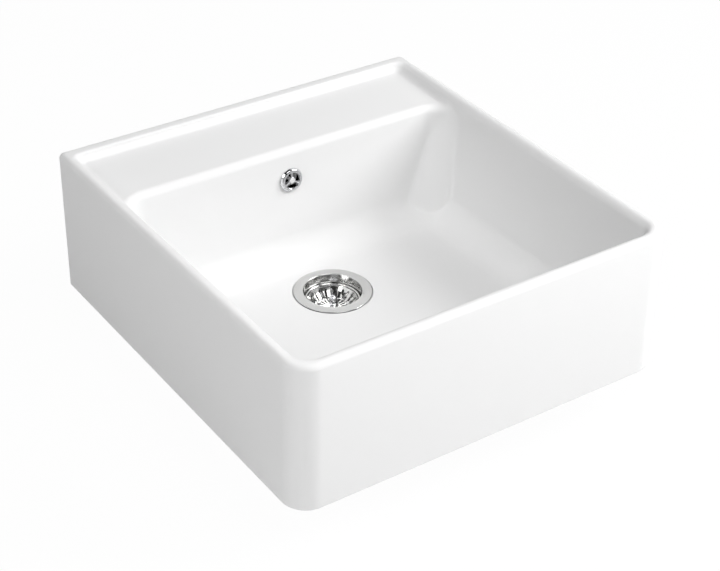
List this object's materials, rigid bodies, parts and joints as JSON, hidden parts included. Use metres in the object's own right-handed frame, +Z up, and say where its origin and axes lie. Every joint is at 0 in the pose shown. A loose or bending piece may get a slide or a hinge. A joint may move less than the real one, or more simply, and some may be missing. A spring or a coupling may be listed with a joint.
{
  "type": "farmhouse apron front kitchen sink",
  "caption": "Deep rectangular fireclay sink with an apron front, a sloping tap ledge, a basket strainer waste and a round overflow fitting.",
  "frame": {"origin": "middle of the sink's underside, in the plane of the foot that stands on the cabinet", "axes": "+Z up, +Y to the wall behind the sink, +X to the right seen from the front"},
  "size_m": [0.595, 0.63, 0.292],
  "materials": {
    "white_glaze": "glossy white glaze on fireclay",
    "polished_steel": "polished pressed stainless steel",
    "spring_steel": "bright spring steel",
    "chrome_plate": "mirror chrome plate on brass",
    "black_rubber": "matt black moulded rubber",
    "white_plastic": "satin white moulded plastic",
    "turned_brass": "turned brass"
  },
  "bodies": {
    "sink": {"sink_body": "white_glaze", "waste_flange": "polished_steel", "flange_seal": "black_rubber", "underside_seal": "black_rubber", "waste_body": "white_plastic", "clamp_screw": "turned_brass", "clamp_insert": "turned_brass", "overflow_rosette": "chrome_plate", "overflow_screw": "chrome_plate", "overflow_front_seal": "black_rubber", "overflow_rear_seal": "black_rubber", "overflow_elbow": "white_plastic", "overflow_insert": "turned_brass", "overflow_pipe": "white_plastic", "pipe_nut_top": "white_plastic", "pipe_seal_top": "black_rubber", "pipe_nut_bottom": "white_plastic", "pipe_seal_bottom": "black_rubber"},
    "basket": {"basket": "polished_steel", "basket_knob": "chrome_plate", "basket_stem": "turned_brass", "stem_clip": "spring_steel", "basket_seal": "black_rubber", "seal_retainer": "polished_steel"}
  },
  "joints": [
    {"name": "basket_lift", "type": "slide", "parent": "sink", "child": "basket", "axis": [0, 0, 1], "range_m": [0, 0.27]}
  ]
}
